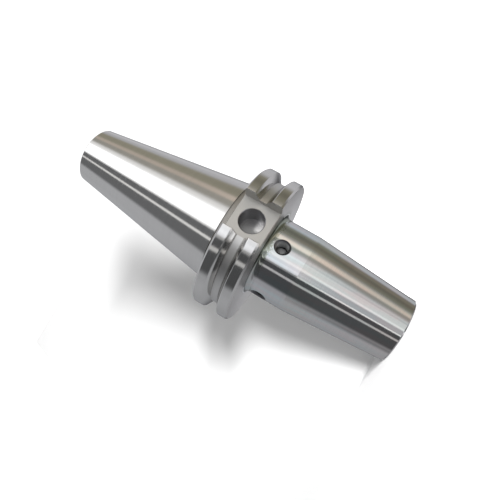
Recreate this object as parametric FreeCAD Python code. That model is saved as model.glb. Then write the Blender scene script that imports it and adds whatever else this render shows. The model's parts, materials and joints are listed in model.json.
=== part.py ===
import FreeCAD, Part
import os
from math import cos, radians, tan

# Shrink fit tool holder for a 16 mm shank, with a 7/24 steep taper of size 40.
#
# The holder is one turned and milled piece of hardened steel. From the bottom up
# it has a slender nose that is heated to let the shank in, a round nose base with
# four tapped balancing holes, a flange with a gripper groove and two drive slots,
# and the steep taper that the machine spindle holds.
#
# Frame: millimetres, +Z up along the axis, origin in the middle of the nose face.
# The holder stands on its nose, the way it hangs in a vertical spindle. The drive
# slot with the round data hole faces -Y and the deeper slot faces +Y.

# Whole tool: nose face to gauge plane
GAUGE_HEIGHT = 80.0

# Steep taper
GAUGE_D = 44.45
TAPER_RATE = 7.0 / 24.0
TAPER_LENGTH = 68.4
TAPER_END_CHAMFER = 0.5

# Collar and relief groove between the taper and the flange
COLLAR_D = 44.6
RELIEF_BELOW_GAUGE = 0.5
RELIEF_WIDTH = 0.6
RELIEF_DEPTH = 0.5

# Flange, measured down from the gauge plane
FLANGE_D = 63.55
FLANGE_BACK = 3.2
FLANGE_FRONT = 19.1
RIM_CHAMFER = 0.7

# Gripper groove, sized by pins laid in it
GROOVE_CENTRE = 11.1
GROOVE_BOTTOM_D = 56.25
GROOVE_ANGLE = 60.0
GROOVE_PIN_D = 7.0
GROOVE_OVER_PINS = 72.3
LAND_EDGE_BREAK = 0.2

# Drive slots, floors measured from the axis
SLOT_WIDTH = 16.1
SLOT_FLOOR_FRONT = 25.0
SLOT_FLOOR_BACK = 22.8

# Flat-bottomed data hole in the floor of the front slot
DATA_HOLE_D = 10.0
DATA_HOLE_DEPTH = 9.5
DATA_HOLE_EDGE_BREAK = 0.25

# Nose
NOSE_END_D = 27.0
NOSE_BASE_D = 34.0
NOSE_ANGLE = 4.5
NOSE_END_CHAMFER = 0.5
NOSE_ROOT_FILLET = 2.0

# Tapped M6 balancing holes in the nose base, measured down from the flange
BALANCE_COUNT = 4
BALANCE_BELOW_FLANGE = 6.0
BALANCE_CORE_D = 5.0
BALANCE_MOUTH_D = 7.0
BALANCE_DEPTH = 8.0

# Shrink bore and its mouth
SHANK_BORE_D = 16.0
SHANK_BORE_DEPTH = 50.0
SHANK_BORE_CHAMFER = 0.5

# Thread M12x1 for a length stop behind the shrink bore
STOP_CORE_D = 10.92
STOP_THREAD_LENGTH = 18.0

# Coolant passage between the two axial threads
COOLANT_D = 8.0

# Pull stud seat in the taper end: centre cone, pilot and M16 thread
SEAT_CONE_D = 19.0
SEAT_CONE_ANGLE = 60.0
PILOT_D = 17.0
PILOT_DEPTH = 8.2
STUD_CORE_D = 13.9
STUD_THREAD_DEPTH = 43.0
STUD_LEAD_CHAMFER = 1.0

# Point angle of the drills that make the blind holes and steps
DRILL_POINT_ANGLE = 118.0

# How far a cutter stands out of the metal it cuts
CUTTER_OVERRUN = 1.0

AXIS_POINT = FreeCAD.Vector(0, 0, 0)
AXIS = FreeCAD.Vector(0, 0, 1)

rim_r = FLANGE_D / 2
collar_r = COLLAR_D / 2
nose_end_r = NOSE_END_D / 2
nose_base_r = NOSE_BASE_D / 2
taper_top = GAUGE_HEIGHT + TAPER_LENGTH
flange_top = GAUGE_HEIGHT - FLANGE_BACK
flange_bottom = GAUGE_HEIGHT - FLANGE_FRONT


def point(r, z):
    """A point of the half section, at radius r and height z."""
    return FreeCAD.Vector(r, 0, z)


def drill_point_height(wide_r, narrow_r=0.0):
    """Height of the cone that a drill leaves between two radii."""
    return (wide_r - narrow_r) / tan(radians(DRILL_POINT_ANGLE / 2))


def taper_r(z):
    """Radius of the steep taper at height z."""
    return GAUGE_D / 2 - (z - GAUGE_HEIGHT) * TAPER_RATE / 2


def nose_r(z):
    """Radius of the conical nose at height z."""
    return nose_end_r + z * tan(radians(NOSE_ANGLE))


def nose_outline():
    """From the nose face up to the start of the fillet under the flange."""
    cone_top = (nose_base_r - nose_end_r) / tan(radians(NOSE_ANGLE))
    return [
        point(nose_end_r - NOSE_END_CHAMFER, 0),
        point(nose_r(NOSE_END_CHAMFER), NOSE_END_CHAMFER),
        point(nose_base_r, cone_top),
        point(nose_base_r, flange_bottom - NOSE_ROOT_FILLET),
    ]


def groove_half_width(r):
    """Half the gripper groove's width at radius r, worked out from the pins in it."""
    half_angle = radians(GROOVE_ANGLE / 2)
    pin_r = GROOVE_PIN_D / 2
    pin_centre_r = GROOVE_OVER_PINS / 2 - pin_r
    return pin_r / cos(half_angle) + (r - pin_centre_r) * tan(half_angle)


def flange_outline():
    """From the fillet's end, round the rim and its groove, to the flange's top face."""
    centre = GAUGE_HEIGHT - GROOVE_CENTRE
    bottom_r = GROOVE_BOTTOM_D / 2
    broken_r = rim_r - LAND_EDGE_BREAK
    land_edge = groove_half_width(rim_r) + LAND_EDGE_BREAK
    return [
        point(nose_base_r + NOSE_ROOT_FILLET, flange_bottom),
        point(rim_r - RIM_CHAMFER, flange_bottom),
        point(rim_r, flange_bottom + RIM_CHAMFER),
        point(rim_r, centre - land_edge),
        point(broken_r, centre - groove_half_width(broken_r)),
        point(bottom_r, centre - groove_half_width(bottom_r)),
        point(bottom_r, centre + groove_half_width(bottom_r)),
        point(broken_r, centre + groove_half_width(broken_r)),
        point(rim_r, centre + land_edge),
        point(rim_r, flange_top - RIM_CHAMFER),
        point(rim_r - RIM_CHAMFER, flange_top),
    ]


def taper_outline():
    """From the flange's top face, over collar and relief groove, to the taper's end."""
    relief_top = GAUGE_HEIGHT - RELIEF_BELOW_GAUGE
    relief_bottom = relief_top - RELIEF_WIDTH
    relief_r = collar_r - RELIEF_DEPTH
    chamfer_start = taper_top - TAPER_END_CHAMFER
    return [
        point(collar_r, flange_top),
        point(collar_r, relief_bottom),
        point(relief_r, relief_bottom),
        point(relief_r, relief_top),
        point(taper_r(relief_top), relief_top),
        point(taper_r(chamfer_start), chamfer_start),
        point(taper_r(taper_top) - TAPER_END_CHAMFER, taper_top),
    ]


def bore_outline():
    """Down the inside: pull stud seat, coolant passage, stop thread, shrink bore."""
    cone_r = SEAT_CONE_D / 2
    pilot_r = PILOT_D / 2
    stud_r = STUD_CORE_D / 2
    coolant_r = COOLANT_D / 2
    stop_r = STOP_CORE_D / 2
    shank_r = SHANK_BORE_D / 2
    cone_height = (cone_r - pilot_r) / tan(radians(SEAT_CONE_ANGLE / 2))
    pilot_floor = taper_top - PILOT_DEPTH
    stud_floor = taper_top - STUD_THREAD_DEPTH
    stop_floor = SHANK_BORE_DEPTH + drill_point_height(shank_r, stop_r)
    stop_end = stop_floor + STOP_THREAD_LENGTH
    return [
        point(cone_r, taper_top),
        point(pilot_r, taper_top - cone_height),
        point(pilot_r, pilot_floor),
        point(stud_r + STUD_LEAD_CHAMFER, pilot_floor),
        point(stud_r, pilot_floor - STUD_LEAD_CHAMFER),
        point(stud_r, stud_floor),
        point(coolant_r, stud_floor - drill_point_height(stud_r, coolant_r)),
        point(coolant_r, stop_end + drill_point_height(stop_r, coolant_r)),
        point(stop_r, stop_end),
        point(stop_r, stop_floor),
        point(shank_r, SHANK_BORE_DEPTH),
        point(shank_r, SHANK_BORE_CHAMFER),
        point(shank_r + SHANK_BORE_CHAMFER, 0),
    ]


def lines(points):
    """Straight edges through the points in turn."""
    return [Part.LineSegment(a, b).toShape() for a, b in zip(points, points[1:])]


def fillet_arc(start, end):
    """The quarter arc under the flange, bulging towards the corner that it fills."""
    centre = point(end.x, start.z)
    half_way = NOSE_ROOT_FILLET * cos(radians(45))
    middle = centre + FreeCAD.Vector(-half_way, 0, half_way)
    return Part.Arc(start, middle, end).toShape()


def turned_blank():
    """The whole turned form, spun from its half section."""
    nose = nose_outline()
    rest = flange_outline() + taper_outline() + bore_outline()
    closing = rest + [nose[0]]
    edges = lines(nose) + [fillet_arc(nose[-1], rest[0])] + lines(closing)
    section = Part.Face(Part.Wire(edges))
    return section.revolve(AXIS_POINT, AXIS, 360)


def spun_cutter(points):
    """A round cutter about Z, from the outline of its half section."""
    outline = Part.makePolygon(points + [points[0]])
    return Part.Face(outline).revolve(AXIS_POINT, AXIS, 360)


def turned_to(cutter, height, heading):
    """Lay a cutter that stands along Z on its side, pointing from the axis to a heading."""
    cutter.rotate(AXIS_POINT, FreeCAD.Vector(1, 0, 0), 90)
    cutter.rotate(AXIS_POINT, AXIS, heading)
    cutter.translate(FreeCAD.Vector(0, 0, height))
    return cutter


def drive_slot(floor, heading):
    """Cutter for one drive slot. Heading 0 faces -Y, and 180 faces +Y."""
    reach = rim_r + CUTTER_OVERRUN
    height = flange_top - flange_bottom + 2 * CUTTER_OVERRUN
    corner = FreeCAD.Vector(-SLOT_WIDTH / 2, -reach, flange_bottom - CUTTER_OVERRUN)
    slot = Part.makeBox(SLOT_WIDTH, reach - floor, height, corner)
    slot.rotate(AXIS_POINT, AXIS, heading)
    return slot


def data_hole():
    """Flat-bottomed hole in the middle of the front slot's floor."""
    hole_r = DATA_HOLE_D / 2
    mouth = SLOT_FLOOR_FRONT
    widest = hole_r + DATA_HOLE_EDGE_BREAK + CUTTER_OVERRUN
    cutter = spun_cutter([
        point(0, mouth + CUTTER_OVERRUN),
        point(widest, mouth + CUTTER_OVERRUN),
        point(hole_r, mouth - DATA_HOLE_EDGE_BREAK),
        point(hole_r, mouth - DATA_HOLE_DEPTH),
        point(0, mouth - DATA_HOLE_DEPTH),
    ])
    return turned_to(cutter, GAUGE_HEIGHT - GROOVE_CENTRE, 0)


def balance_hole(heading):
    """Drilled core and countersunk mouth of one M6 balancing hole."""
    core_r = BALANCE_CORE_D / 2
    mouth_r = BALANCE_MOUTH_D / 2
    mouth = nose_base_r
    floor = mouth - BALANCE_DEPTH
    cutter = spun_cutter([
        point(0, mouth + CUTTER_OVERRUN),
        point(mouth_r + CUTTER_OVERRUN, mouth + CUTTER_OVERRUN),
        point(core_r, mouth - (mouth_r - core_r)),
        point(core_r, floor),
        point(0, floor - drill_point_height(core_r)),
    ])
    return turned_to(cutter, flange_bottom - BALANCE_BELOW_FLANGE, heading)


def holder_body():
    """The turned blank with its slots and radial holes cut."""
    cutters = [
        drive_slot(SLOT_FLOOR_FRONT, 0),
        drive_slot(SLOT_FLOOR_BACK, 180),
        data_hole(),
    ]
    for i in range(BALANCE_COUNT):
        cutters.append(balance_hole(i * 360.0 / BALANCE_COUNT))
    body = turned_blank()
    for cutter in cutters:
        body = body.cut(cutter)
    return body.Solids[0]


os.makedirs("parts", exist_ok=True)
shape = holder_body()
shape.exportStep("parts/holder_body.step")
box = shape.BoundBox
print("holder_body", "valid", shape.isValid(), "volume", round(shape.Volume, 1), "mm3")
print("size", round(box.XLength, 3), round(box.YLength, 3), round(box.ZLength, 3))
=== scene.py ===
import json
from math import atan2, cos, degrees, hypot, pi, radians, sin, sqrt, tan

import bmesh
import bpy
from mathutils import Matrix, Vector


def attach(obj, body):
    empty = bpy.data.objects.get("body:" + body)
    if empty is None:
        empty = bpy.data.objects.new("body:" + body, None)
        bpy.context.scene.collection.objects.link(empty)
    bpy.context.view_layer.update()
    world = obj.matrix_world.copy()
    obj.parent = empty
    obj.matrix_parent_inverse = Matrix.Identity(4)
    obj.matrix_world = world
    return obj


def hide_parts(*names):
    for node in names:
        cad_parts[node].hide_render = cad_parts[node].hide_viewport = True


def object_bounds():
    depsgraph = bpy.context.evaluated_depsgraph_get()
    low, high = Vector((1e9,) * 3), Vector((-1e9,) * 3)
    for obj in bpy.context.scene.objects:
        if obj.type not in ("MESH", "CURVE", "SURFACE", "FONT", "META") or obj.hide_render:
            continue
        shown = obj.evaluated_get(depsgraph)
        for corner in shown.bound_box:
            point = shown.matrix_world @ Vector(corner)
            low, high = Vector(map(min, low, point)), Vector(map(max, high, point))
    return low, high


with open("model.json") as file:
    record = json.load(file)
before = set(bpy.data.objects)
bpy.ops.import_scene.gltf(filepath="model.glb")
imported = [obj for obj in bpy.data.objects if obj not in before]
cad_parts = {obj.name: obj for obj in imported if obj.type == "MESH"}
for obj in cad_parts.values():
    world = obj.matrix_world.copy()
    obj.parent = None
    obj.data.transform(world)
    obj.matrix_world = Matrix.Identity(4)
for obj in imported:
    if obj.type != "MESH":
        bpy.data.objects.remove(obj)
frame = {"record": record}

bl_info = {
    "name": "Shrink Fit Holder",
    "version": (1, 0, 0),
    "blender": (4, 5, 0),
    "location": "View3D > Sidebar > Holder",
    "description": "Builds a steep taper shrink fit holder and the studio it is shown in",
    "category": "Object",
}

# The holder stands on its nose at the origin, its axis along +Z. Lengths are in metres.

MM = 0.001
FULL_TURN = 2 * pi
# How far a cutter reaches past the face that it starts from
OVERRUN = 1 * MM
# Points of a new piece that are closer than this are merged
MERGE_DISTANCE = 0.0005 * MM
# The same for a piece that is being cut, whose mesh is in millimetres meanwhile
CUT_TOLERANCE = 0.0002
# Faces that meet at more than this have a sharp edge between them
CREASE_ANGLE = radians(28)
FILLET_STEPS = 10
COVE_STEPS = 12
# How the steep taper's diameter changes along its length
TAPER_RATE = 7 / 24
# Slope of a screw thread's flanks, and its crest as a share of its pitch
THREAD_FLANK = radians(30)
THREAD_CREST = 1 / 8
# Places of the outside's finishes in the body's list of materials
GROUND, NOSE, TURNED, COLLAR = range(4)
# Height on the holder that the key light points at
LIT_HEIGHT = 70 * MM
SENSOR_WIDTH_MM = 36.0
# A narrow ring beside a fillet, so that smooth shading keeps the next face straight
SHADE_MARGIN = 0.25 * MM
CAD_BOX = [list(corner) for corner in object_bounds()]
# Radii of the bores that the frame has as mounts
BORE_R = {
    mount["name"]: mount["dims"]["r_mm"] * MM
    for mount in frame["record"]["mounts"] if "r_mm" in mount["dims"]
}


def length(name, description, millimetres):
    """A length that a user can set, given here in millimetres."""
    return bpy.props.FloatProperty(
        name=name, description=description, default=millimetres * MM,
        min=0.0, precision=5, unit="LENGTH",
    )


def angle(name, description, value):
    """An angle that a user can set, given here in degrees."""
    return bpy.props.FloatProperty(
        name=name, description=description, default=radians(value), subtype="ANGLE",
    )


def share(name, description, value):
    """A number from 0 to 1 that a user can set."""
    return bpy.props.FloatProperty(
        name=name, description=description, default=value, min=0.0, max=1.0, subtype="FACTOR",
    )


def colour(name, description, value):
    """A linear colour that a user can set."""
    return bpy.props.FloatVectorProperty(
        name=name, description=description, default=value, min=0.0, max=1.0, size=3,
        subtype="COLOR",
    )


def direction(name, description, value):
    """A direction in space that a user can set."""
    return bpy.props.FloatVectorProperty(
        name=name, description=description, default=value, size=3, subtype="DIRECTION",
    )


def count(name, description, value):
    """A whole number that a user can set."""
    return bpy.props.IntProperty(name=name, description=description, default=value, min=1)


class HolderSizes(bpy.types.PropertyGroup):
    """Sizes of the holder."""

    gauge_height: length("Gauge height", "From the nose face to the gauge plane", 80.0)
    gauge_d: length("Gauge diameter", "Taper diameter at the gauge plane", 44.45)
    taper_length: length("Taper length", "From the gauge plane to the taper's end", 68.4)
    taper_end_chamfer: length("Taper end chamfer", "Chamfer of the small end", 0.5)
    collar_d: length("Collar diameter", "Collar between flange and taper", 44.6)
    relief_below_gauge: length("Relief below gauge", "Gauge plane to the relief groove", 0.5)
    relief_width: length("Relief width", "Width of the relief groove", 0.6)
    relief_depth: length("Relief depth", "Depth of the relief groove", 0.5)
    flange_d: length("Flange diameter", "Outside diameter of the flange", 63.55)
    flange_back: length("Flange back", "From the gauge plane down to the flange", 3.2)
    flange_front: length("Flange front", "From the gauge plane to the flange's far face", 19.1)
    rim_chamfer: length("Rim chamfer", "Chamfer of the flange's two rims", 0.7)
    groove_centre: length("Groove centre", "From the gauge plane to the gripper groove", 11.1)
    groove_bottom_d: length("Groove bottom diameter", "Gripper groove at its floor", 56.25)
    groove_angle: angle("Groove angle", "Between the groove's two flanks", 60.0)
    groove_pin_d: length("Groove pin diameter", "Pins that the groove is measured with", 7.0)
    groove_over_pins: length("Over the pins", "Diameter over two pins in the groove", 72.3)
    land_edge_break: length("Land edge break", "Small chamfer beside the groove", 0.2)
    slot_width: length("Slot width", "Width of both drive slots", 16.1)
    slot_floor_front: length("Front slot floor", "From the axis to the front slot's floor", 25.0)
    slot_floor_back: length("Back slot floor", "From the axis to the back slot's floor", 22.8)
    slot_edge_break: length("Slot edge break", "Small chamfer round the slots", 0.3)
    data_hole_depth: length("Data hole depth", "Depth of the flat-bottomed hole", 9.5)
    data_hole_dish: length("Data hole floor dish", "How much deeper the floor's middle is", 0.35)
    data_hole_break: length("Data hole edge break", "Chamfer of the data hole's mouth", 0.25)
    nose_end_d: length("Nose end diameter", "Nose at its end face", 27.0)
    nose_base_d: length("Nose base diameter", "Nose below the flange", 34.0)
    nose_angle: angle("Nose angle", "Slope of the conical nose", 4.5)
    nose_end_chamfer: length("Nose end chamfer", "Chamfer of the nose face", 0.5)
    nose_root_fillet: length("Nose root fillet", "Radius between nose and flange", 2.0)
    balance_holes: count("Balancing holes", "Tapped holes round the nose base", 4)
    balance_below_flange: length("Balancing hole place", "From the flange to the holes", 6.0)
    balance_thread_d: length("Balancing thread", "Outside diameter of the thread", 6.0)
    balance_core_d: length("Balancing hole core", "Drilled diameter", 5.0)
    balance_mouth_d: length("Balancing hole mouth", "Countersunk diameter", 7.0)
    balance_depth: length("Balancing hole depth", "Drilled depth", 8.0)
    balance_pitch: length("Balancing thread pitch", "Pitch of the thread", 1.0)
    shank_bore_depth: length("Shrink bore depth", "Depth of the bore for the shank", 50.0)
    shank_bore_chamfer: length("Shrink bore chamfer", "Chamfer of the bore's mouth", 0.5)
    stop_thread_d: length("Stop thread", "Outside diameter of the stop screw's thread", 12.0)
    stop_thread_length: length("Stop thread length", "Length of the threaded hole", 18.0)
    stop_pitch: length("Stop thread pitch", "Pitch of the stop screw's thread", 1.0)
    coolant_d: length("Coolant passage", "Diameter of the drilled passage", 8.0)
    seat_cone_d: length("Seat cone diameter", "Centre cone at the small end", 19.0)
    seat_cone_angle: angle("Seat cone angle", "Full angle of the centre cone", 60.0)
    pilot_depth: length("Pilot depth", "Depth of the pull stud's pilot bore", 8.2)
    stud_thread_d: length("Pull stud thread", "Outside diameter of the thread", 16.0)
    stud_pitch: length("Pull stud thread pitch", "Pitch of the thread", 2.0)
    stud_depth: length("Pull stud hole depth", "Depth of the drilled hole", 43.0)
    stud_lead_chamfer: length("Pull stud lead chamfer", "Chamfer where the thread starts", 1.0)
    drill_point: angle("Drill point", "Full angle of the drills' points", 118.0)
    turned_steps: count("Turned steps", "Facets round the turned body", 360)
    bore_steps: count("Bore steps", "Facets round the bores along the axis", 96)
    hole_steps: count("Hole steps", "Facets round the small holes", 48)


class SteelFinish(bpy.types.PropertyGroup):
    """Colours and gloss of the steel."""

    steel: colour("Steel", "Colour of bright hardened steel", (0.615, 0.605, 0.59))
    edge_steel: colour("Steel at grazing angles", "Share of the mirrored light", (0.76,) * 3)
    milled_steel: colour("Milled steel", "Colour of the slots", (0.54, 0.53, 0.505))
    collar_steel: colour("Collar steel", "Colour of the collar, less bright", (0.385, 0.37, 0.347))
    # Darker steel as painted shade inside the drilled holes and bores
    hole_shade_steel: colour("Steel in holes", "Colour of the drilled holes, with oil in them",
                       (0.41, 0.405, 0.42))
    # Painted shade inside the balancing holes
    thread_shade_steel: colour("Steel in threads", "Colour of the balancing holes", (0.37, 0.375, 0.37))
    # Painted shadow on the data hole's floor, where the hole's rim shades it
    painted_shadow_steel: colour("Stained steel", "Oil stain on the data hole's floor",
                          (0.24, 0.238, 0.234))
    # Painted shade on the balancing holes' countersinks, which hides their reflections
    countersink_shade: colour("Countersinks", "Colour of the balancing holes' mouths",
                              (0.20, 0.20, 0.21))
    straw: colour("Straw tint", "Heat tint at the nose face", (0.607, 0.603, 0.576))
    rose: colour("Rose tint", "Heat tint of the nose's lower part", (0.62, 0.60, 0.585))
    leaf: colour("Leaf tint", "Heat tint of the nose's upper part", (0.595, 0.61, 0.58))
    sky: colour("Sky tint", "Heat tint of the nose base", (0.575, 0.605, 0.61))
    pink_film: colour("Pink film", "Streaks of heat tint along the nose", (0.68, 0.585, 0.60))
    cyan_film: colour("Cyan film", "Streaks of heat tint along the nose", (0.54, 0.625, 0.645))
    film: share("Film strength", "How much of the nose's colour the streaks take", 0.35)
    # Heat tint and painted shade in the corner under the flange, much darker than the steel
    fir_tint_and_shade: colour("Fir tint", "Heat tint in the corner under the flange", (0.30, 0.325, 0.275))
    grain: share("Grain", "How much the turned finish spreads light along the axis", 0.5)
    taper_roughness: share("Taper roughness", "Ground taper, rim and groove flanks", 0.11)
    nose_roughness: share("Nose roughness", "Polished nose", 0.09)
    turned_roughness: share("Turned roughness", "Flange faces and the groove's floor", 0.42)
    collar_roughness: share("Collar roughness", "Between the flange and the taper", 0.58)
    milled_roughness: share("Milled roughness", "Slot floors and walls", 0.52)
    bored_roughness: share("Bored roughness", "Bores, their threads and the data hole's wall", 0.34)
    thread_roughness: share("Thread roughness", "The balancing holes", 0.45)
    faced_roughness: share("Faced roughness", "The data hole's floor", 0.26)


class StudioLook(bpy.types.PropertyGroup):
    """The stage, its light and the camera."""

    camera_place: bpy.props.FloatVectorProperty(
        name="Camera place", description="Where the camera stands", size=3,
        default=(-0.0611, -0.1882, 0.0364), subtype="TRANSLATION", unit="LENGTH",
    )
    camera_aim: direction(
        "Camera aim", "The direction that the camera looks in", (0.2949, 0.9426, 0.1568)
    )
    camera_up: direction(
        "Camera up", "The direction that is up in the picture", (0.8002, -0.3333, 0.4985)
    )
    camera_lens: bpy.props.FloatProperty(
        name="Lens", description="Focal length in millimetres on a 36 mm sensor", default=34.39,
    )
    stage_white: share("Stage white", "Reflectance of floor and backdrop", 0.9)
    wall_height: length("Backdrop height", "From the floor to the backdrop's top", 190.0)
    stage_front: length("Stage front", "From the holder to the stage's front edge", 250.0)
    stage_side: length("Stage side", "From the holder to the stage's side edges", 138.0)
    wall_distance: length("Backdrop distance", "From the axis to the backdrop's foot", 14.5)
    wall_lean: angle("Backdrop lean", "How far the backdrop leans back", 31.0)
    wall_cove: length("Backdrop cove", "Radius between floor and backdrop", 3.0)
    key_distance: length("Key light distance", "From the holder towards the camera", 300.0)
    key_rise: length("Key light rise", "From the camera's line towards the picture's top", 178.0)
    key_width: length("Key light width", "Across, along the picture's width", 60.0)
    key_height: length("Key light height", "Along the picture's height", 205.0)
    key_power: bpy.props.FloatProperty(
        name="Key light power", description="Radiant power of the key light", default=3.1,
        unit="POWER",
    )
    room_light: bpy.props.FloatProperty(
        name="Room light", description="Strength of the studio's even light", default=1.0,
    )
    stage_fill: share("Stage fill", "Brightness of the even light on floor and backdrop", 0.36)


class Signal:
    """A shader socket that takes part in Python expressions."""

    def __init__(self, shader, socket):
        self.shader = shader
        self.socket = socket

    def math(self, operation, *values):
        """A Math node on these values."""
        return self.shader.node(
            "ShaderNodeMath", {"operation": operation}, dict(enumerate(values))
        )

    def __add__(self, other):
        return self.math("ADD", self, other)

    def __sub__(self, other):
        return self.math("SUBTRACT", self, other)

    def __rsub__(self, other):
        return self.math("SUBTRACT", other, self)

    def __mul__(self, other):
        return self.math("MULTIPLY", self, other)

    def __pow__(self, other):
        return self.math("POWER", self, other)

    __radd__ = __add__
    __rmul__ = __mul__


class Shader:
    """The node tree of a material or of the world."""

    def __init__(self, owner):
        owner.use_nodes = True
        self.tree = owner.node_tree
        self.tree.nodes.clear()

    def node(self, kind, settings=None, inputs=None, output=0):
        """A node with its settings and the values or links of its sockets."""
        made = self.tree.nodes.new(kind)
        for name, value in (settings or {}).items():
            setattr(made, name, value)
        for key, value in (inputs or {}).items():
            socket = made.inputs[key]
            if isinstance(value, Signal):
                self.tree.links.new(value.socket, socket)
            else:
                socket.default_value = value
        return Signal(self, made.outputs[output]) if made.outputs else made

    def parts(self, vector):
        """The three numbers of a vector."""
        first = self.node("ShaderNodeSeparateXYZ", {}, {"Vector": vector})
        return [Signal(self, socket) for socket in first.socket.node.outputs]

    def ramp(self, value, low, high):
        """0 below low, 1 above high, and a smooth step between."""
        return self.node(
            "ShaderNodeMapRange", {"interpolation_type": "SMOOTHSTEP"},
            {"Value": value, "From Min": low, "From Max": high},
        )

    def band(self, value, low, high, soft_low, soft_high):
        """1 between low and high, with each edge softened over its own width."""
        rise = self.ramp(value, low - soft_low / 2, low + soft_low / 2)
        fall = self.ramp(value, high - soft_high / 2, high + soft_high / 2)
        return rise * (1 - fall)

    def mix(self, factor, first, second):
        """A colour between two colours. A Mix node has them on the sockets numbered here."""
        return self.node(
            "ShaderNodeMix", {"data_type": "RGBA"}, {0: factor, 6: first, 7: second}, 2
        )


# Tints of the studio's panels
TINTS = {
    "plain": (1.0, 1.0, 1.0),
    "cool": (0.965, 0.988, 1.035),
    "blue": (0.985, 0.99, 1.04),
    "fawn": (1.0, 0.97, 0.88),
    "warm": (1.05, 0.92, 0.80),
    "amber": (1.0, 0.95, 0.76),
}

# Brightness of the studio between its panels, for reflections that point below the
# horizon, level with it and well above it
ROOM_LEVELS = (0.105, 0.09, 0.195)

# Elevations, in degrees, over which the first level turns into the second, and that
# into the third
LOW_TO_LEVEL = (-14, 3)
LEVEL_TO_HIGH = (5, 34)

# Brightness of the studio where the camera looks past the stage
SEEN_WHITE = 1.2

# The studio's panels, later ones in front of earlier ones. Each has its name, the bearings
# where it starts and ends, in degrees from the camera with the photograph's upper side
# positive, the softness of both edges, how far it leans low down and at height, its three
# levels of brightness and its tint.
PANELS = (
    ("left wall", -200, -77, 20, 18, 0.0, 1.8, (0.50, 0.485, 0.65), "cool"),
    ("left wall near", -124, -86, 24, 16, 0.0, 1.8, (0.50, 0.515, 0.59), "cool"),
    ("left wall edge", -93, -78.5, 16, 14, 0.0, 1.5, (0.26, 0.46, 0.58), "cool"),
    ("far left sheet", -210, -161, 20, 24, 0.0, 0.0, (0.14, 0.135, 0.61), "blue"),
    ("right wall near", 42, 84, 14, 16, 0.0, 4.0, (0.42, 0.52, 0.44), "fawn"),
    ("right wall", 76, 118, 12, 12, 0.0, 0.0, (0.275, 0.305, 0.40), "amber"),
    ("right wall dark", 87, 101, 14, 12, 0.0, 0.0, (0.205, 0.215, 0.385), "amber"),
    ("sheet", 113, 200, 16, 20, 7.0, -1.5, (0.71, 0.735, 0.64), "blue"),
    ("sheet back", 130, 200, 24, 20, 0.0, 0.0, (0.71, 0.73, 0.87), "blue"),
    ("far right sheet", 150, 190, 20, 16, 0.0, 0.0, (0.12, 0.43, 0.47), "blue"),
    ("back wall right", 171, 190, 5, 10, 0.0, 0.0, (1.25, 0.75, 0.55), "blue"),
    ("back wall left", -190, -171, 10, 6, 0.0, 0.0, (0.84, 0.33, 0.60), "blue"),
    ("strip light", -35, -28.7, 2.5, 2.5, -1.1, -5.0, (0.66, 0.66, 1.10), "plain"),
    ("soft box fall", 10, 42, 10, 14, 0.0, 5.0, (0.84, 1.06, 1.12), "plain"),
    ("soft box", -13.5, 30.5, 8, 16, 0.0, 0.0, (0.60, 1.14, 2.1), "cool"),
    ("soft box core", 5, 26.5, 4, 14, 0.0, 0.0, (0.97, 1.2, 2.1), "plain"),
    ("near tube", -7, -2.5, 3, 3, 0.0, 0.0, (0.62, 1.32, 2.1), "cool"),
    ("middle tube", 6, 12, 3, 3, 0.0, 0.0, (1.25, 1.4, 2.1), "plain"),
    ("far tube", 23.5, 28.5, 3, 3, 0.0, 0.0, (0.95, 1.34, 2.1), "plain"),
    ("soft box rim", -15, -11.5, 2, 2, 0.0, 0.0, (1.4, 0.42, 1.1), "plain"),
    ("warm reflector", 53.5, 67.5, 7, 12, 1.5, 13.0, (0.82, 1.27, 0.60), "warm"),
)


def rgba(values):
    """A colour with full alpha."""
    return (*values, 1.0)


def grey(level, tint=(1.0, 1.0, 1.0)):
    """A linear grey, tinted."""
    return rgba([level * part for part in tint])


def taper_r(sizes, z):
    """Radius of the steep taper at height z."""
    return sizes.gauge_d / 2 - (z - sizes.gauge_height) * TAPER_RATE / 2


def point_height(sizes, wide_r, narrow_r=0.0):
    """Height of the cone that a drill leaves between two radii."""
    return (wide_r - narrow_r) / tan(sizes.drill_point / 2)


def arc(centre, radius, start, end, steps):
    """Points of an arc in the half section, with both ends. Angles are in degrees."""
    turns = [radians(start + (end - start) * i / steps) for i in range(steps + 1)]
    return [(centre[0] + radius * cos(t), centre[1] + radius * sin(t)) for t in turns]


def cone_height(sizes):
    """Height where the nose's cone meets its round base."""
    return (sizes.nose_base_d - sizes.nose_end_d) / 2 / tan(sizes.nose_angle)


def nose_outline(sizes):
    """From the nose face to the end of the fillet under the flange."""
    end_r = sizes.nose_end_d / 2
    base_r = sizes.nose_base_d / 2
    chamfer = sizes.nose_end_chamfer
    slope = tan(sizes.nose_angle)
    fillet = sizes.nose_root_fillet
    flange_bottom = sizes.gauge_height - sizes.flange_front
    corner = (base_r + fillet, flange_bottom - fillet)
    return [
        (0.0, 0.0),
        (end_r - chamfer, 0.0),
        (end_r + chamfer * slope, chamfer),
        (base_r, cone_height(sizes)),
        (base_r, corner[1] - SHADE_MARGIN),
        *arc(corner, fillet, 180, 90, FILLET_STEPS),
        (corner[0] + SHADE_MARGIN, flange_bottom),
    ]


def groove_half_width(sizes, r):
    """Half the gripper groove's width at radius r, worked out from the pins in it."""
    half_angle = sizes.groove_angle / 2
    pin_r = sizes.groove_pin_d / 2
    pin_centre_r = sizes.groove_over_pins / 2 - pin_r
    return pin_r / cos(half_angle) + (r - pin_centre_r) * tan(half_angle)


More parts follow.
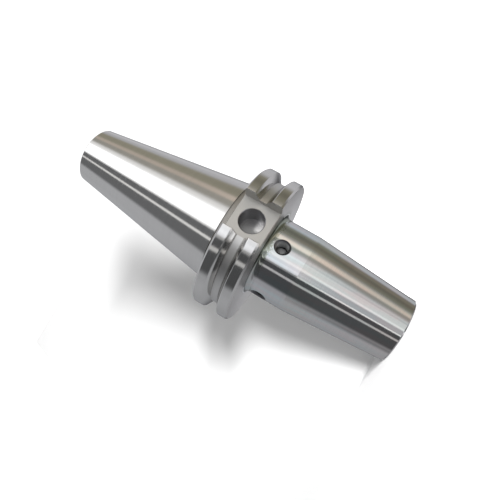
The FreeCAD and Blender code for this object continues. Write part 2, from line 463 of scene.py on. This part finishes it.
def flange_outline(sizes):
    """Round the rim and its groove, to the flange's top face."""
    rim_r = sizes.flange_d / 2
    chamfer = sizes.rim_chamfer
    centre = sizes.gauge_height - sizes.groove_centre
    floor_r = sizes.groove_bottom_d / 2
    broken_r = rim_r - sizes.land_edge_break
    land_edge = groove_half_width(sizes, rim_r) + sizes.land_edge_break

    def half(face, side):
        """From one of the flange's faces to the groove's floor. Side is -1 below, 1 above."""
        return [
            (rim_r - chamfer, face),
            (rim_r, face - side * chamfer),
            (rim_r, centre + side * land_edge),
            (broken_r, centre + side * groove_half_width(sizes, broken_r)),
            (floor_r, centre + side * groove_half_width(sizes, floor_r)),
        ]

    lower = half(sizes.gauge_height - sizes.flange_front, -1)
    upper = half(sizes.gauge_height - sizes.flange_back, 1)
    return lower + upper[::-1]


def taper_outline(sizes):
    """Over collar and relief groove, to the taper's end."""
    collar_r = sizes.collar_d / 2
    relief_top = sizes.gauge_height - sizes.relief_below_gauge
    relief_bottom = relief_top - sizes.relief_width
    relief_r = collar_r - sizes.relief_depth
    end = sizes.gauge_height + sizes.taper_length
    chamfer = sizes.taper_end_chamfer
    return [
        (collar_r, sizes.gauge_height - sizes.flange_back),
        (collar_r, relief_bottom),
        (relief_r, relief_bottom),
        (relief_r, relief_top),
        (taper_r(sizes, relief_top), relief_top),
        (taper_r(sizes, end - chamfer), end - chamfer),
        (taper_r(sizes, end) - chamfer, end),
        (0.0, end),
    ]


def bore_outline(sizes):
    """Down the inside: pull stud seat, coolant passage, stop thread, shrink bore."""
    end = sizes.gauge_height + sizes.taper_length
    cone_r = sizes.seat_cone_d / 2
    cone_slope = tan(sizes.seat_cone_angle / 2)
    pilot_r = BORE_R["pull_stud_pilot"]
    stud_r = BORE_R["pull_stud_thread"]
    stop_r = BORE_R["stop_thread"]
    shank_r = BORE_R["tool_bore"]
    coolant_r = sizes.coolant_d / 2
    lead = sizes.stud_lead_chamfer
    pilot_floor = end - sizes.pilot_depth
    stud_floor = end - sizes.stud_depth
    shank_floor = sizes.shank_bore_depth
    stop_floor = shank_floor + point_height(sizes, shank_r, stop_r)
    stop_end = stop_floor + sizes.stop_thread_length
    mouth = sizes.shank_bore_chamfer
    return [
        (0.0, end + OVERRUN),
        (cone_r + OVERRUN * cone_slope, end + OVERRUN),
        (pilot_r, end - (cone_r - pilot_r) / cone_slope),
        (pilot_r, pilot_floor),
        (stud_r + lead, pilot_floor),
        (stud_r, pilot_floor - lead),
        (stud_r, stud_floor),
        (coolant_r, stud_floor - point_height(sizes, stud_r, coolant_r)),
        (coolant_r, stop_end + point_height(sizes, stop_r, coolant_r)),
        (stop_r, stop_end),
        (stop_r, stop_floor),
        (shank_r, shank_floor),
        (shank_r, mouth),
        (shank_r + mouth + OVERRUN, -OVERRUN),
        (0.0, -OVERRUN),
    ]


def closed_mesh(name, bm, material):
    """An object from a bmesh, with doubles merged and faces turned outwards."""
    bmesh.ops.remove_doubles(bm, verts=bm.verts, dist=MERGE_DISTANCE)
    bmesh.ops.recalc_face_normals(bm, faces=bm.faces)
    mesh = bpy.data.meshes.new(name)
    bm.to_mesh(mesh)
    bm.free()
    mesh.materials.append(material)
    made = bpy.data.objects.new(name, mesh)
    bpy.context.scene.collection.objects.link(made)
    return made


def outline_edges(bm, outline):
    """The vertices and edges of a half section, in the XZ plane."""
    verts = [bm.verts.new((r, 0.0, z)) for r, z in outline]
    return verts + [bm.edges.new(pair) for pair in zip(verts, verts[1:])]


def spun(name, outline, steps, material):
    """A round body about Z, from a half section that starts and ends on the axis."""
    bm = bmesh.new()
    bmesh.ops.spin(
        bm, geom=outline_edges(bm, outline), cent=(0, 0, 0), axis=(0, 0, 1),
        dvec=(0, 0, 0), angle=FULL_TURN, steps=steps, use_merge=True, use_duplicate=False,
    )
    return closed_mesh(name, bm, material)


def tap(name, core_r, thread_d, pitch, low, high, steps, material):
    """A threaded plug between two heights, which cuts a thread in a drilled hole."""
    crest = thread_d / 2
    # The root lies a little inside the drilled hole, so that the two cuts overlap
    root = core_r - 0.1 * pitch
    crest_half = pitch * THREAD_CREST / 2
    root_half = crest_half + (crest - root) * tan(THREAD_FLANK)
    # With turns to spare, which the two planes at low and high cut off
    turns = int((high - low) / pitch) + 3
    outline = []
    for i in range(turns):
        middle = low + (i - 1) * pitch
        outline += [
            (root, middle - root_half),
            (crest, middle - crest_half),
            (crest, middle + crest_half),
            (root, middle + root_half),
        ]
    bm = bmesh.new()
    bmesh.ops.spin(
        bm, geom=outline_edges(bm, outline), cent=(0, 0, 0), axis=(0, 0, 1),
        dvec=(0, 0, pitch / steps), angle=FULL_TURN, steps=steps, use_merge=False,
        use_duplicate=False,
    )
    bmesh.ops.remove_doubles(bm, verts=bm.verts, dist=MERGE_DISTANCE)
    for height, up in ((low, -1), (high, 1)):
        cut = bmesh.ops.bisect_plane(
            bm, geom=bm.verts[:] + bm.edges[:] + bm.faces[:], plane_co=(0, 0, height),
            plane_no=(0, 0, up), clear_outer=True,
        )
        rim = [item for item in cut["geom_cut"] if isinstance(item, bmesh.types.BMEdge)]
        bmesh.ops.edgeloop_fill(bm, edges=rim)
    return closed_mesh(name, bm, material)


def laid(piece, height, heading):
    """Lay a cutter that stands along Z on its side, pointing from the axis to a heading."""
    turn = Matrix.Rotation(radians(heading), 4, "Z") @ Matrix.Rotation(radians(90), 4, "X")
    piece.data.transform(Matrix.Translation((0, 0, height)) @ turn)
    return piece


def slot_cutter(name, sizes, floor, heading, material):
    """The cutter for one drive slot, flared at its mouths to break their edges.

    Heading 0 faces -Y, and 180 faces +Y.
    """
    edge = sizes.slot_edge_break
    half_width = sizes.slot_width / 2
    rim_r = sizes.flange_d / 2
    reach = rim_r + OVERRUN
    land = sqrt(rim_r ** 2 - half_width ** 2) - edge
    low = sizes.gauge_height - sizes.flange_front
    high = sizes.gauge_height - sizes.flange_back
    levels = (
        (low - OVERRUN, edge + OVERRUN), (low + edge, 0.0), (high - edge, 0.0),
        (high + OVERRUN, edge + OVERRUN),
    )
    bm = bmesh.new()
    loops = []
    for z, flare in levels:
        wide = half_width + flare
        outline = (
            (-wide - (reach - land), -reach), (-wide, -land), (-wide, -floor + flare),
            (wide, -floor + flare), (wide, -land), (wide + (reach - land), -reach),
        )
        verts = [bm.verts.new((x, y, z)) for x, y in outline]
        loops.append([bm.edges.new(pair) for pair in zip(verts, verts[1:] + verts[:1])])
    for lower, upper in zip(loops, loops[1:]):
        bmesh.ops.bridge_loops(bm, edges=lower + upper)
    for end in (loops[0], loops[-1]):
        bmesh.ops.edgeloop_fill(bm, edges=end)
    made = closed_mesh(name, bm, material)
    made.data.transform(Matrix.Rotation(radians(heading), 4, "Z"))
    return made


def resize(piece, factor):
    """Scale a piece's mesh about the origin."""
    piece.data.transform(Matrix.Scale(factor, 4))


def clean_up(piece):
    """Plain triangles, with no doubled points or slivers, for the next cut."""
    bm = bmesh.new()
    bm.from_mesh(piece.data)
    bmesh.ops.triangulate(bm, faces=bm.faces)
    bmesh.ops.remove_doubles(bm, verts=bm.verts, dist=CUT_TOLERANCE)
    bmesh.ops.dissolve_degenerate(bm, edges=bm.edges, dist=CUT_TOLERANCE)
    bm.to_mesh(piece.data)
    bm.free()


def cut_from(body, cutter):
    """Take the cutter out of the body. The cut faces keep the cutter's material."""
    resize(cutter, 1 / MM)
    change = body.modifiers.new(cutter.name, "BOOLEAN")
    change.object = cutter
    change.operation = "DIFFERENCE"
    change.solver = "EXACT"
    change.material_mode = "TRANSFER"
    ready = body.evaluated_get(bpy.context.evaluated_depsgraph_get())
    mesh = bpy.data.meshes.new_from_object(ready)
    body.modifiers.remove(change)
    old = body.data
    body.data = mesh
    bpy.data.meshes.remove(old)
    used = cutter.data
    bpy.data.objects.remove(cutter)
    bpy.data.meshes.remove(used)
    clean_up(body)


class Steel(Shader):
    """A kind of steel surface: its material, and the place on the holder that it colours."""

    def __init__(self, name, finish):
        self.material = bpy.data.materials.new(name)
        self.finish = finish
        super().__init__(self.material)
        self.x, self.y, self.z = self.parts(self.node("ShaderNodeTexCoord", {}, {}, "Object"))
        self.r = (self.x * self.x + self.y * self.y) ** 0.5

    def noise(self, x, y, z, scale, detail):
        """Noise at the place that three numbers give."""
        place = self.node("ShaderNodeCombineXYZ", {}, {"X": x, "Y": y, "Z": z})
        return self.node(
            "ShaderNodeTexNoise", {}, {"Vector": place, "Scale": scale, "Detail": detail}
        )

    def rings(self, depth, fineness, wander):
        """Noise drawn out into rings round the axis. Depth runs along the cut surface.

        Fineness and wander count the noise's waves per metre, across and along the rings.
        """
        return self.noise(self.x * wander, self.y * wander, depth * fineness, 1.0, 2.0)

    def lines(self, waves_x, waves_y, waves_z):
        """Noise drawn out into lines, with its waves per metre along each axis."""
        return self.noise(self.x * waves_x, self.y * waves_y, self.z * waves_z, 1.0, 3.0)

    def speckle(self, waves, detail=2.0):
        """Noise in small spots, with the same number along each side of the holder's box."""
        place = [
            (value - low) * (1 / (high - low))
            for value, low, high in zip((self.x, self.y, self.z), *CAD_BOX)
        ]
        return self.noise(*place, waves, detail)

    def mottled(self, noise, tint, dark, bright):
        """A tint that the noise takes from dark to bright times its strength."""
        return self.mix(noise, grey(dark, tint), grey(bright, tint))

    def done(self, colour, roughness, marks, relief, grain=0.0):
        """The material, as bright metal with tool marks raised by the relief, in metres."""
        normal = self.node(
            "ShaderNodeBump", {}, {"Height": marks, "Distance": relief, "Strength": 1.0}
        )
        surface = self.node("ShaderNodeBsdfPrincipled", {}, {
            "Base Color": colour,
            "Metallic": 1.0,
            "Roughness": roughness,
            "Normal": normal,
            "Specular Tint": rgba(self.finish.edge_steel),
            "Anisotropic": grain,
            "Anisotropic Rotation": 0.25,
        })
        self.node("ShaderNodeOutputMaterial", {}, {"Surface": surface})
        return self.material


def uneven(value, noise, swing):
    """A value that the noise moves up and down, over a range as wide as the swing."""
    return value + (noise - 0.5) * swing


def ground_finish(finish):
    """The taper, the flange's rim and the groove's flanks, ground round the axis."""
    steel = Steel("ground_taper", finish)
    fine = steel.rings(steel.z, fineness=3500, wander=350)
    broad = steel.rings(steel.z, fineness=700, wander=25)
    colour = steel.mottled(broad, finish.steel, dark=0.96, bright=1.03)
    roughness = uneven(finish.taper_roughness, broad, swing=0.10)
    return steel.done(colour, roughness, fine, relief=12e-6, grain=finish.grain)


def tint_and_shade_side(steel):
    """How strong the fir tint and its painted shade are under the flange, from one side of the
    holder to the other.
    """
    weakest = 0.25
    weak_x, full_x = -15 * MM, -7 * MM
    return weakest + steel.ramp(steel.x, weak_x, full_x) * (1 - weakest)


def nose_finish(finish, sizes):
    """The polished nose, with the tints that heating leaves on it."""
    steel = Steel("heat_tinted_nose", finish)
    base = sizes.gauge_height - sizes.flange_front
    fine = steel.rings(steel.z, fineness=3500, wander=350)
    broad = steel.rings(steel.z, fineness=900, wander=60)
    patches = steel.speckle(160.0)
    # The tints' borders wander with the rings and with the patches.
    height = uneven(uneven(steel.z, broad, swing=3 * MM), patches, swing=6 * MM)
    colour = rgba(finish.straw)
    # Heights where each tint starts to show and where it is complete
    for low, high, tint in (
        (2 * MM, 16 * MM, finish.rose),
        (20 * MM, 27 * MM, finish.steel),
        (29 * MM, 37 * MM, finish.leaf),
        (43 * MM, 47 * MM, finish.sky),
    ):
        colour = steel.mix(steel.ramp(height, low, high), colour, rgba(tint))
    streaks = steel.ramp(steel.lines(400, 400, 60), 0.38, 0.62)
    film = steel.mix(streaks, rgba(finish.pink_film), rgba(finish.cyan_film))
    colour = steel.mix(finish.film, colour, film)
    # Heat tint and painted shade in the corner under the flange
    corner = steel.ramp(height, base - 3.2 * MM, base - 1.2 * MM)
    colour = steel.mix(corner * tint_and_shade_side(steel), colour, rgba(finish.fir_tint_and_shade))
    # A trace of dark scale is left in the rings.
    colour = steel.mix(broad * 0.12, colour, grey(0.2))
    roughness = uneven(finish.nose_roughness, broad, swing=0.08)
    return steel.done(colour, roughness, fine, relief=10e-6, grain=finish.grain)


def turned_finish(finish, sizes):
    """The flange's faces and the groove's floor, as the lathe left them."""
    steel = Steel("turned_flange", finish)
    face = sizes.gauge_height - sizes.flange_front
    nose_r = sizes.nose_base_d / 2
    fine = steel.rings(steel.z + steel.r, fineness=3500, wander=60)
    broad = steel.rings(steel.z + steel.r, fineness=900, wander=40)
    colour = steel.mottled(broad, finish.steel, dark=0.90, bright=1.02)
    # Heat tint and painted shade on the flange's face beside the nose
    on_face = 1 - steel.ramp(steel.z, face + 0.1 * MM, face + 0.3 * MM)
    by_nose = 1 - steel.ramp(steel.r, nose_r, nose_r + 5 * MM)
    colour = steel.mix(on_face * by_nose * tint_and_shade_side(steel), colour, rgba(finish.fir_tint_and_shade))
    roughness = uneven(finish.turned_roughness, broad, swing=0.10)
    return steel.done(colour, roughness, fine, relief=1.5e-6, grain=finish.grain)


def milled_finish(finish):
    """The slots, with the fine lines that an end mill leaves along them."""
    steel = Steel("milled_slots", finish)
    lines = steel.lines(3000, 1500, 160)
    spots = steel.speckle(900.0)
    colour = steel.mottled(spots, finish.milled_steel, dark=0.86, bright=1.10)
    roughness = uneven(finish.milled_roughness, spots, swing=0.14)
    return steel.done(colour, roughness, lines, relief=2.5e-6)


def faced_finish(finish, sizes):
    """The data hole's floor, faced bright by an end mill, with a painted shadow over most of it and
    a painted pool of light on the rest.
    """
    steel = Steel("faced_hole_floor", finish)
    spots = steel.speckle(900.0, detail=3.0)
    middle = sizes.gauge_height - sizes.groove_centre
    # A painted shadow covers the floor but for a painted pool of light below the hole's middle, on
    # its +X side.
    up = uneven(steel.z, spots, swing=2.5 * MM)
    across = uneven(steel.x, spots, swing=2 * MM)
    lit_patch = 1 - steel.ramp(up, middle - 1.7 * MM, middle + 0.3 * MM)
    lit_patch = lit_patch * steel.ramp(across, -0.4 * MM, 1.6 * MM)
    # The painted pool of light is up to half as bright again as the steel
    bright = steel.mottled(spots, finish.steel, dark=0.95, bright=1.5)
    colour = steel.mix(lit_patch, rgba(finish.painted_shadow_steel), bright)
    roughness = uneven(finish.faced_roughness, spots, swing=0.15)
    return steel.done(colour, roughness, spots, relief=3e-6)


def bored_finish(finish):
    """The data hole's wall, and all that is bored or threaded along the axis."""
    steel = Steel("bored_walls", finish)
    spots = steel.speckle(1200.0)
    # The holes' steel is painted darker than the outside's, as shade
    colour = steel.mottled(spots, finish.hole_shade_steel, dark=0.8, bright=1.2)
    roughness = uneven(finish.bored_roughness, spots, swing=0.15)
    return steel.done(colour, roughness, spots, relief=1.5e-6)


def tapped_finish(finish, sizes):
    """The balancing holes, painted dark inside as shade, and darkest on their countersinks."""
    steel = Steel("shaded_threads", finish)
    spots = steel.speckle(1200.0)
    sink_depth = (sizes.balance_mouth_d - sizes.balance_core_d) / 2
    sink_r = sizes.nose_base_d / 2 - sink_depth
    # Painted shade on the countersinks hides their reflections
    in_sink = steel.ramp(steel.r, sink_r - 0.3 * MM, sink_r)
    inside = steel.mottled(spots, finish.thread_shade_steel, dark=0.8, bright=1.2)
    colour = steel.mix(in_sink, inside, rgba(finish.countersink_shade))
    roughness = uneven(finish.thread_roughness, spots, swing=0.15)
    return steel.done(colour, roughness, spots, relief=1.5e-6)


def collar_finish(finish):
    """The collar between flange and taper, turned and left dull."""
    steel = Steel("dull_collar", finish)
    fine = steel.rings(steel.z, fineness=7000, wander=40)
    broad = steel.rings(steel.z, fineness=1200, wander=60)
    colour = steel.mottled(broad, finish.collar_steel, dark=0.85, bright=1.12)
    roughness = uneven(finish.collar_roughness, broad, swing=0.10)
    return steel.done(colour, roughness, fine, relief=1.5e-6)


def finish_zone(sizes, x, y, z):
    """Which finish the blank's outside has at a point."""
    r = hypot(x, y)
    slack = CUT_TOLERANCE * MM
    if z < sizes.gauge_height - sizes.flange_front - slack:
        return NOSE
    if z > sizes.gauge_height - sizes.relief_below_gauge:
        return GROUND
    if z > sizes.gauge_height - sizes.flange_back + slack:
        return COLLAR
    # The broken edges beside the groove count as its flanks.
    groove_reach = groove_half_width(sizes, r) + sizes.land_edge_break
    in_groove = abs(z - sizes.gauge_height + sizes.groove_centre) < groove_reach
    on_groove_floor = r < sizes.groove_bottom_d / 2 + slack
    on_rim = r > sizes.flange_d / 2 - sizes.rim_chamfer
    return GROUND if (on_rim or in_groove) and not on_groove_floor else TURNED


def balance_cutters(sizes, material):
    """Countersunk drills and taps for the holes round the nose base."""
    core_r = sizes.balance_core_d / 2
    mouth_r = sizes.balance_mouth_d / 2
    mouth = sizes.nose_base_d / 2
    floor = mouth - sizes.balance_depth
    height = sizes.gauge_height - sizes.flange_front - sizes.balance_below_flange
    outline = [
        (0.0, mouth + OVERRUN),
        (mouth_r + OVERRUN, mouth + OVERRUN),
        (core_r, mouth - (mouth_r - core_r)),
        (core_r, floor),
        (0.0, floor - point_height(sizes, core_r)),
    ]
    thread_start = floor + sizes.balance_pitch
    made = []
    for i in range(sizes.balance_holes):
        heading = 360 * i / sizes.balance_holes
        drill = spun(f"balance_drill_{i}", outline, sizes.hole_steps, material)
        made.append(laid(drill, height, heading))
        thread = tap(
            f"balance_tap_{i}", core_r, sizes.balance_thread_d, sizes.balance_pitch,
            thread_start, mouth + OVERRUN / 2, sizes.hole_steps, material,
        )
        made.append(laid(thread, height, heading))
    return made


def data_hole_cutter(sizes, wall_finish, floor_finish):
    """The end mill for the data hole in the front slot's floor, which is all but flat."""
    hole_r = BORE_R["data_hole"]
    mouth = sizes.slot_floor_front
    edge = sizes.data_hole_break
    floor = mouth - sizes.data_hole_depth
    outline = [
        (0.0, mouth + OVERRUN),
        (hole_r + edge + OVERRUN, mouth + OVERRUN),
        (hole_r, mouth - edge),
        (hole_r, floor),
        (0.0, floor - sizes.data_hole_dish),
    ]
    drill = spun("data_drill", outline, sizes.hole_steps * 2, wall_finish)
    drill.data.materials.append(floor_finish)
    for polygon in drill.data.polygons:
        polygon.material_index = polygon.center.z < floor + CUT_TOLERANCE * MM
    return laid(drill, sizes.gauge_height - sizes.groove_centre, 0)


def axial_taps(sizes, material):
    """Taps for the pull stud's and the stop screw's threads.

    They overrun less than the drills before them, so that the two don't end on one plane.
    """
    end = sizes.gauge_height + sizes.taper_length
    stud_r = BORE_R["pull_stud_thread"]
    stop_r = BORE_R["stop_thread"]
    shank_r = BORE_R["tool_bore"]
    overrun = OVERRUN / 4
    stud_start = end - sizes.pilot_depth
    stud_end = end - sizes.stud_depth + 3 * sizes.stud_pitch
    stop_start = sizes.shank_bore_depth + point_height(sizes, shank_r, stop_r)
    stop_end = stop_start + sizes.stop_thread_length - 2 * sizes.stop_pitch
    stud = tap(
        "stud_tap", stud_r, sizes.stud_thread_d, sizes.stud_pitch,
        stud_end, stud_start + overrun, sizes.bore_steps, material,
    )
    stop = tap(
        "stop_tap", stop_r, sizes.stop_thread_d, sizes.stop_pitch,
        stop_start - overrun, stop_end, sizes.bore_steps, material,
    )
    return [stud, stop]


def crease(mesh, limit, ring_height):
    """Smooth shading, sharp where faces meet at more than the limit or on the given ring."""
    bm = bmesh.new()
    bm.from_mesh(mesh)
    for face in bm.faces:
        face.smooth = True
    for edge in bm.edges:
        on_ring = all(abs(vert.co.z - ring_height) < CUT_TOLERANCE * MM for vert in edge.verts)
        edge.smooth = edge.calc_face_angle(0.0) < limit and not on_ring
    open_edges = sum(not edge.is_manifold for edge in bm.edges)
    bm.to_mesh(mesh)
    bm.free()
    if open_edges:
        raise RuntimeError(f"the holder's mesh has {open_edges} open edges")


class HOLDER_OT_body(bpy.types.Operator):
    """Turn, mill, drill and tap the one-piece holder body"""

    bl_idname = "holder.body"
    bl_label = "Holder Body"

    def execute(self, context):
        sizes = context.scene.holder_sizes
        finish = context.scene.holder_finish
        outside = {
            GROUND: ground_finish(finish),
            NOSE: nose_finish(finish, sizes),
            TURNED: turned_finish(finish, sizes),
            COLLAR: collar_finish(finish),
        }
        milled = milled_finish(finish)
        bored = bored_finish(finish)
        outline = nose_outline(sizes) + flange_outline(sizes) + taper_outline(sizes)
        body = spun("shrink_fit_holder", outline, sizes.turned_steps, outside[GROUND])
        for place in (NOSE, TURNED, COLLAR):
            body.data.materials.append(outside[place])
        for polygon in body.data.polygons:
            polygon.material_index = finish_zone(sizes, *polygon.center)
        cutters = [
            spun("bore_tools", bore_outline(sizes), sizes.bore_steps, bored),
            slot_cutter("front_slot", sizes, sizes.slot_floor_front, 0, milled),
            slot_cutter("back_slot", sizes, sizes.slot_floor_back, 180, milled),
            data_hole_cutter(sizes, bored, faced_finish(finish, sizes)),
        ]
        cutters += balance_cutters(sizes, tapped_finish(finish, sizes))
        cutters += axial_taps(sizes, bored)
        # Boolean cuts are steadier on millimetres than on small fractions of a metre.
        resize(body, 1 / MM)
        for cutter in cutters:
            cut_from(body, cutter)
        resize(body, MM)
        crease(body.data, CREASE_ANGLE, cone_height(sizes))
        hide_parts("holder_body")
        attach(body, "root")
        return {"FINISHED"}


def studio_world(look):
    """Soft boxes and flags round the holder, which its bright steel mirrors."""
    world = bpy.data.worlds.new("studio")
    bpy.context.scene.world = world
    shader = Shader(world)
    aim = Vector(look.camera_aim)
    to_camera = atan2(-aim.y, -aim.x)
    direction = shader.node("ShaderNodeTexCoord", {}, {}, "Generated")
    x, y, z = shader.parts(direction)
    ahead = x * cos(to_camera) + y * sin(to_camera)
    aside = y * cos(to_camera) - x * sin(to_camera)
    azimuth = ahead.math("ARCTAN2", aside, ahead) * degrees(1)
    elevation = z.math("ARCSINE", z) * degrees(1)
    raised = shader.ramp(elevation, *LOW_TO_LEVEL)
    high = shader.ramp(elevation, *LEVEL_TO_HIGH)

    def level(low, middle, top, tint):
        """A panel's light, blended from its three levels by the elevation."""
        lower = shader.mix(raised, grey(low, tint), grey(middle, tint))
        return shader.mix(high, lower, grey(top, tint))

    light = level(*ROOM_LEVELS, TINTS["cool"])
    for _, start, end, start_soft, end_soft, low_lean, high_lean, levels, tint in PANELS:
        turned = azimuth - (1 - raised) * low_lean - high * high_lean
        mask = shader.band(turned, start, end, start_soft, end_soft)
        light = shader.mix(mask, light, level(*levels, TINTS[tint]))
    on_stage = shader.node("ShaderNodeLightPath", {}, {}, "Is Diffuse Ray")
    light = shader.mix(on_stage, light, grey(look.stage_fill))
    seen = shader.node("ShaderNodeLightPath", {}, {}, "Is Camera Ray")
    light = shader.mix(seen, light, grey(SEEN_WHITE))
    background = shader.node(
        "ShaderNodeBackground", {}, {"Color": light, "Strength": look.room_light}
    )
    shader.node("ShaderNodeOutputWorld", {}, {"Surface": background})


def backdrop(look):
    """The floor, curved up into a wall behind the holder."""
    aim = Vector(look.camera_aim)
    aim.z = 0
    aim.normalize()
    cove = look.wall_cove
    lean = look.wall_lean
    bend_start = look.wall_distance - cove * tan((pi / 2 - lean) / 2)
    bend = arc((bend_start, cove), cove, -90, -degrees(lean), COVE_STEPS)
    foot, foot_height = bend[-1]
    top = foot + (look.wall_height - foot_height) * tan(lean)
    outline = [(-look.stage_front, 0.0), *bend, (top, look.wall_height)]
    across = Vector((-aim.y, aim.x, 0)) * look.stage_side
    bm = bmesh.new()
    verts = [
        bm.verts.new(aim * run + Vector((0, 0, height)) - across) for run, height in outline
    ]
    edges = [bm.edges.new(pair) for pair in zip(verts, verts[1:])]
    swept = bmesh.ops.extrude_edge_only(bm, edges=edges)["geom"]
    moved = [item for item in swept if isinstance(item, bmesh.types.BMVert)]
    bmesh.ops.translate(bm, vec=across * 2, verts=moved)
    for face in bm.faces:
        face.smooth = True
    mesh = bpy.data.meshes.new("backdrop")
    bm.to_mesh(mesh)
    bm.free()
    made = bpy.data.objects.new("backdrop", mesh)
    bpy.context.scene.collection.objects.link(made)
    material = bpy.data.materials.new("stage_white")
    shader = Shader(material)
    surface = shader.node("ShaderNodeBsdfDiffuse", {}, {"Color": grey(look.stage_white)})
    shader.node("ShaderNodeOutputMaterial", {}, {"Surface": surface})
    mesh.materials.append(material)
    made.visible_glossy = False
    return made


def key_light(look):
    """An upright oval soft light beside the camera, towards the picture's top."""
    aim = Vector(look.camera_aim).normalized()
    up = Vector(look.camera_up).normalized()
    centre = Vector((0, 0, LIT_HEIGHT))
    place = centre - aim * look.key_distance + up * look.key_rise
    beam = (centre - place).normalized()
    across = beam.cross(up).normalized()
    lamp = bpy.data.lights.new("key_light", "AREA")
    lamp.shape = "ELLIPSE"
    lamp.size = look.key_width
    lamp.size_y = look.key_height
    lamp.energy = look.key_power
    made = bpy.data.objects.new("key_light", lamp)
    turn = Matrix((across, across.cross(beam), -beam)).transposed()
    made.matrix_world = Matrix.Translation(place) @ turn.to_4x4()
    made.visible_camera = False
    made.visible_glossy = False
    bpy.context.scene.collection.objects.link(made)


def camera(look):
    """The camera, rolled as the photograph shows the holder."""
    aim = Vector(look.camera_aim).normalized()
    up = Vector(look.camera_up)
    up = (up - aim * up.dot(aim)).normalized()
    right = aim.cross(up)
    lens = bpy.data.cameras.new("camera")
    lens.sensor_width = SENSOR_WIDTH_MM
    lens.lens = look.camera_lens
    lens.clip_start = 5 * MM
    made = bpy.data.objects.new("camera", lens)
    turn = Matrix((right, up, -aim)).transposed()
    made.matrix_world = Matrix.Translation(look.camera_place) @ turn.to_4x4()
    bpy.context.scene.collection.objects.link(made)
    bpy.context.scene.camera = made


class HOLDER_OT_stage(bpy.types.Operator):
    """Set the floor, backdrop, lights and camera"""

    bl_idname = "holder.stage"
    bl_label = "Studio Stage"

    def execute(self, context):
        look = context.scene.holder_studio
        context.scene.view_settings.view_transform = "Standard"
        studio_world(look)
        backdrop(look)
        key_light(look)
        camera(look)
        return {"FINISHED"}


class HOLDER_PT_sidebar(bpy.types.Panel):
    """The holder's sizes, finish and studio"""

    bl_idname = "HOLDER_PT_sidebar"
    bl_label = "Shrink Fit Holder"
    bl_space_type = "VIEW_3D"
    bl_region_type = "UI"
    bl_category = "Holder"

    def draw(self, context):
        for group, operators in PANEL_PARTS:
            box = self.layout.box()
            values = getattr(context.scene, group)
            for name in values.bl_rna.properties.keys():
                if name not in ("rna_type", "name"):
                    box.prop(values, name)
            for operator in operators:
                box.operator(operator)


PANEL_PARTS = (
    ("holder_sizes", ("holder.body",)),
    ("holder_finish", ()),
    ("holder_studio", ("holder.stage",)),
)
CLASSES = (
    HolderSizes, SteelFinish, StudioLook, HOLDER_OT_body, HOLDER_OT_stage, HOLDER_PT_sidebar,
)


def register():
    """Register the classes and give the scene its groups of values."""
    for item in CLASSES:
        bpy.utils.register_class(item)
    bpy.types.Scene.holder_sizes = bpy.props.PointerProperty(type=HolderSizes)
    bpy.types.Scene.holder_finish = bpy.props.PointerProperty(type=SteelFinish)
    bpy.types.Scene.holder_studio = bpy.props.PointerProperty(type=StudioLook)


def unregister():
    """Take back what register added."""
    del bpy.types.Scene.holder_studio
    del bpy.types.Scene.holder_finish
    del bpy.types.Scene.holder_sizes
    for item in reversed(CLASSES):
        bpy.utils.unregister_class(item)


def main():
    """Build the holder and its studio."""
    register()
    bpy.ops.holder.body()
    bpy.ops.holder.stage()


if __name__ == "__main__":
    main()
